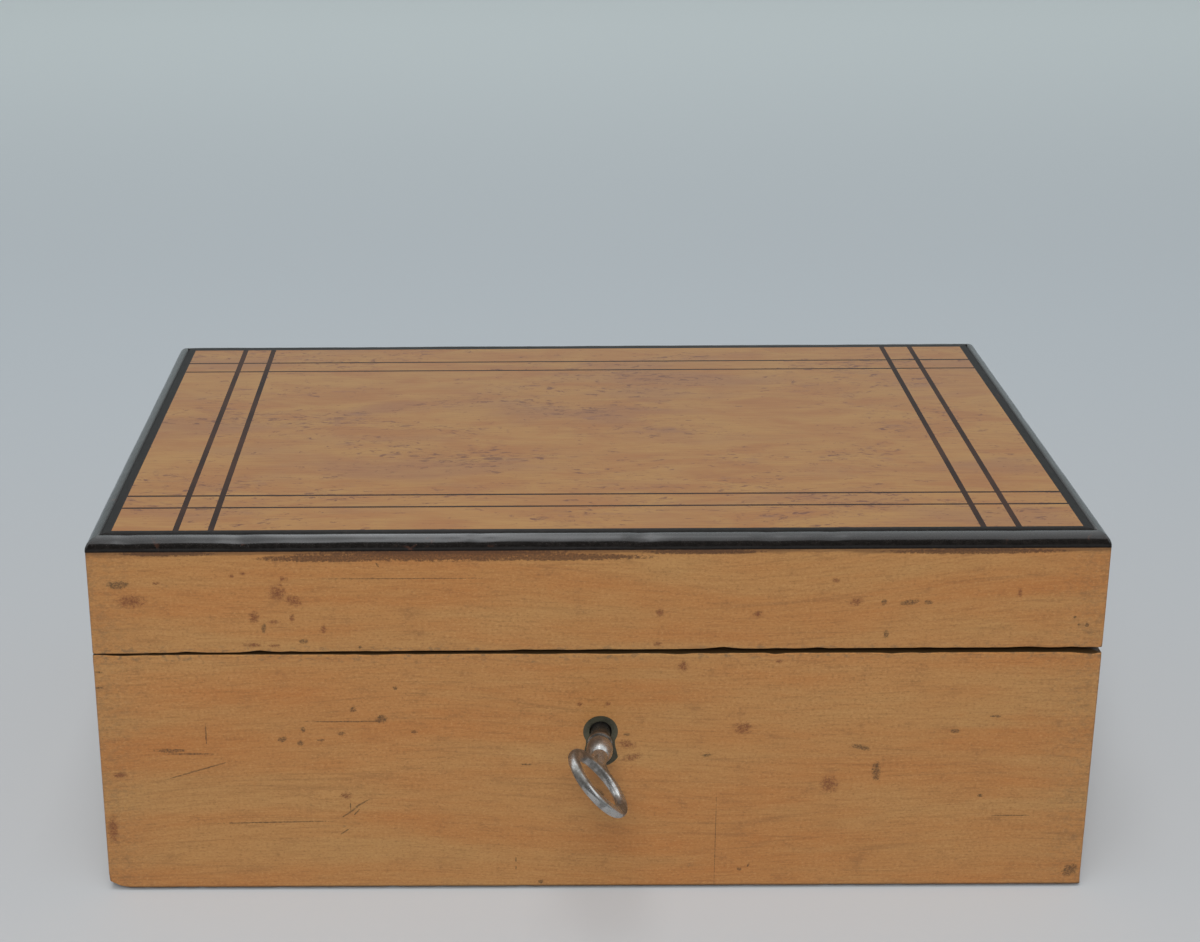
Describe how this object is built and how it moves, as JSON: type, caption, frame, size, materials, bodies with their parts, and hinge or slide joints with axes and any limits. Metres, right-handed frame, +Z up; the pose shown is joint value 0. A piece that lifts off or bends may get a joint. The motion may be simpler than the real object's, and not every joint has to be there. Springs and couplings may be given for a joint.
{
  "type": "games box",
  "caption": "Hinged wooden box for chessmen with a divided inside, an ebonised edge moulding and inlaid lines on the lid, a lock and a ring-bowed key.",
  "frame": {"origin": "centre of the flat underside that the box stands on", "axes": "+X to the right along the front, +Y from the front to the back, +Z up; lid shut, key in the lock"},
  "size_m": [0.24, 0.195, 0.0927],
  "materials": {
    "varnished_wood": "honey-brown satin varnish, worn and grimed",
    "bare_wood": "bare planed wood",
    "ebonised_wood": "ebonised, satin",
    "stringing": "black-stained inlay, varnished over",
    "brass": "aged brass",
    "tarnished_brass": "dark greenish tarnish",
    "lock_steel": "plain steel",
    "screw_steel": "dull steel",
    "key_steel": "worn, handled steel"
  },
  "bodies": {
    "base": {"base_front_board": "varnished_wood", "base_back_board": "varnished_wood", "base_left_board": "varnished_wood", "base_right_board": "varnished_wood", "base_bottom_board": "bare_wood", "compartment_divider": "bare_wood", "escutcheon": "tarnished_brass", "lock_plate": "brass", "lock_cap": "brass", "lock_drill_pin": "lock_steel", "bolt_guide_pins": "brass", "lock_screws": "screw_steel", "hinge_base_leaf_left": "brass", "hinge_base_leaf_right": "brass", "hinge_base_screws": "screw_steel", "hinge_pins": "lock_steel"},
    "lid": {"lid_front_rail": "varnished_wood", "lid_back_rail": "varnished_wood", "lid_left_rail": "varnished_wood", "lid_right_rail": "varnished_wood", "lid_top_panel": "varnished_wood", "lid_moulding_front": "ebonised_wood", "lid_moulding_back": "ebonised_wood", "lid_moulding_left": "ebonised_wood", "lid_moulding_right": "ebonised_wood", "stringing_front": "stringing", "stringing_back": "stringing", "stringing_left": "stringing", "stringing_right": "stringing", "hinge_lid_leaf_left": "brass", "hinge_lid_leaf_right": "brass", "hinge_lid_screws": "screw_steel", "link_plate": "brass", "link_staples": "brass", "link_plate_screws": "screw_steel"},
    "key": {"key": "key_steel"},
    "bolt": {"lock_bolt": "brass", "lock_bolt_spring": "lock_steel"}
  },
  "joints": [
    {"name": "lid_hinge", "type": "hinge", "parent": "base", "child": "lid", "pos_m": [0, 0.078, 0.0632], "axis": [-1, 0, 0], "range_deg": [0, 100]},
    {"name": "key_turn", "type": "hinge", "parent": "base", "child": "key", "pos_m": [0.0011, -0.08, 0.0424], "axis": [0.0628, 0.998, 0], "range_deg": [0, 84]},
    {"name": "bolt_slide", "type": "slide", "parent": "base", "child": "bolt", "axis": [1, 0, 0], "range_m": [0, 0.005]}
  ],
  "couplings": [
    {"joint": "bolt_slide", "follows": "key_turn", "m_per_rad": 0.0034071}
  ]
}
